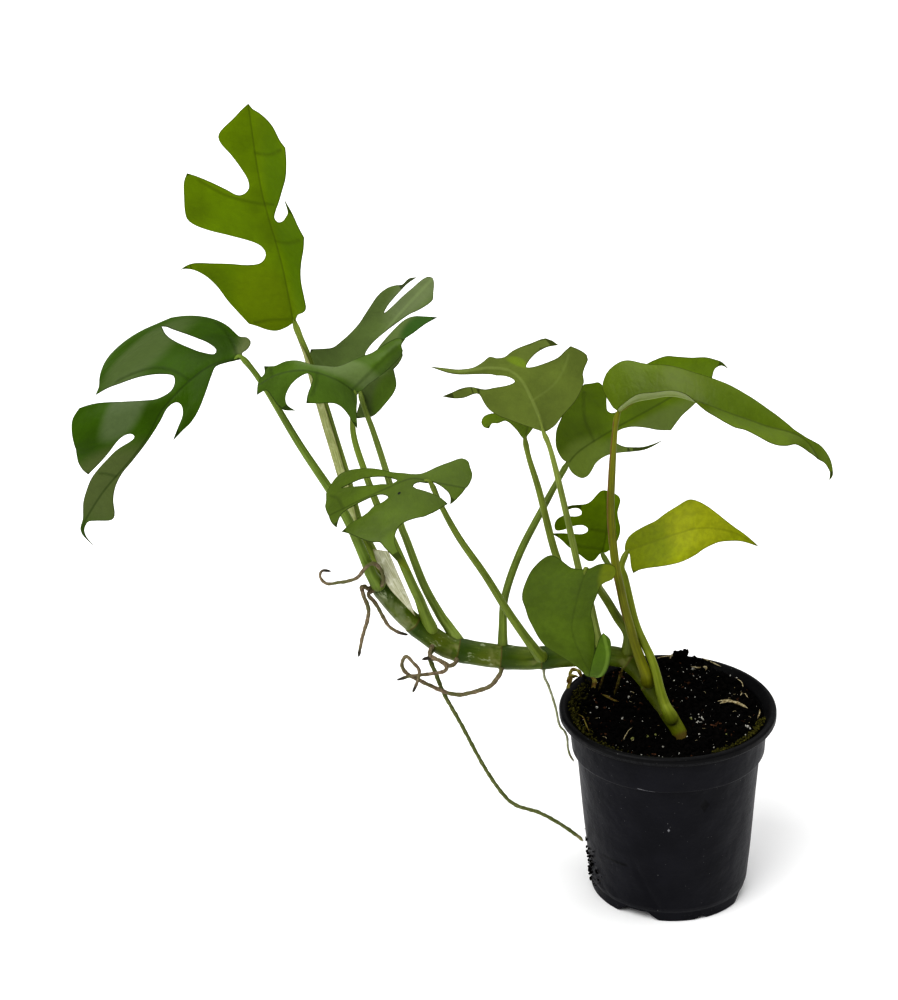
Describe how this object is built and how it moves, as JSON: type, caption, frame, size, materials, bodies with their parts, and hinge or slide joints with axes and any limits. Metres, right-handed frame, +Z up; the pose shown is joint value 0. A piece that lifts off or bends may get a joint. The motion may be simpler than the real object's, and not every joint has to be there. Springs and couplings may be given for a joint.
{
  "type": "potted mini monstera plant",
  "caption": "Leafy vine in a round nursery pot: split leaves on long stalks, a creeping stem over the rim, aerial roots and soil.",
  "frame": {"origin": "middle of the pot's underside, in the plane that it rests on", "axes": "+Z up; the stem leans out over the rim towards -X; the picture looks along +Y"},
  "size_m": [0.3501, 0.1337, 0.3991],
  "materials": {
    "pot_black": "satin black, moulded",
    "soil_dark": "crumbly peat and bark mix",
    "stem_green": "smooth living stem",
    "petiole_green": "smooth leaf stalk",
    "leaf_light": "satin, upper face",
    "leaf_dark": "glossy, upper face",
    "leaf_under": "matte, underside",
    "leaf_yellow": "satin, yellowing",
    "root_brown": "dry, dark-tipped",
    "paper_cream": "dry papery sheath"
  },
  "bodies": {
    "root": {"pot": "pot_black", "soil": "soil_dark", "stem": "stem_green", "leaf_01": "leaf_light", "leaf_02": "leaf_dark", "leaf_03": "leaf_under", "leaf_04": "leaf_dark", "leaf_05": "leaf_dark", "leaf_06": "leaf_under", "leaf_07": "leaf_dark", "leaf_08": "leaf_dark", "leaf_09": "leaf_light", "leaf_10": "leaf_dark", "leaf_11": "leaf_yellow", "leaf_12": "leaf_dark", "petiole_01": "petiole_green", "petiole_02": "petiole_green", "petiole_03": "petiole_green", "petiole_04": "petiole_green", "petiole_05": "petiole_green", "petiole_06": "petiole_green", "petiole_07": "petiole_green", "petiole_08": "petiole_green", "petiole_09": "petiole_green", "petiole_10": "petiole_green", "petiole_11": "petiole_green", "petiole_12": "petiole_green", "root_01": "root_brown", "root_02": "root_brown", "root_03": "root_brown", "root_04": "root_brown", "root_05": "root_brown", "root_06": "root_brown", "root_07": "root_brown", "root_08": "root_brown", "sheath_01": "paper_cream", "sheath_02": "paper_cream"}
  },
  "joints": []
}
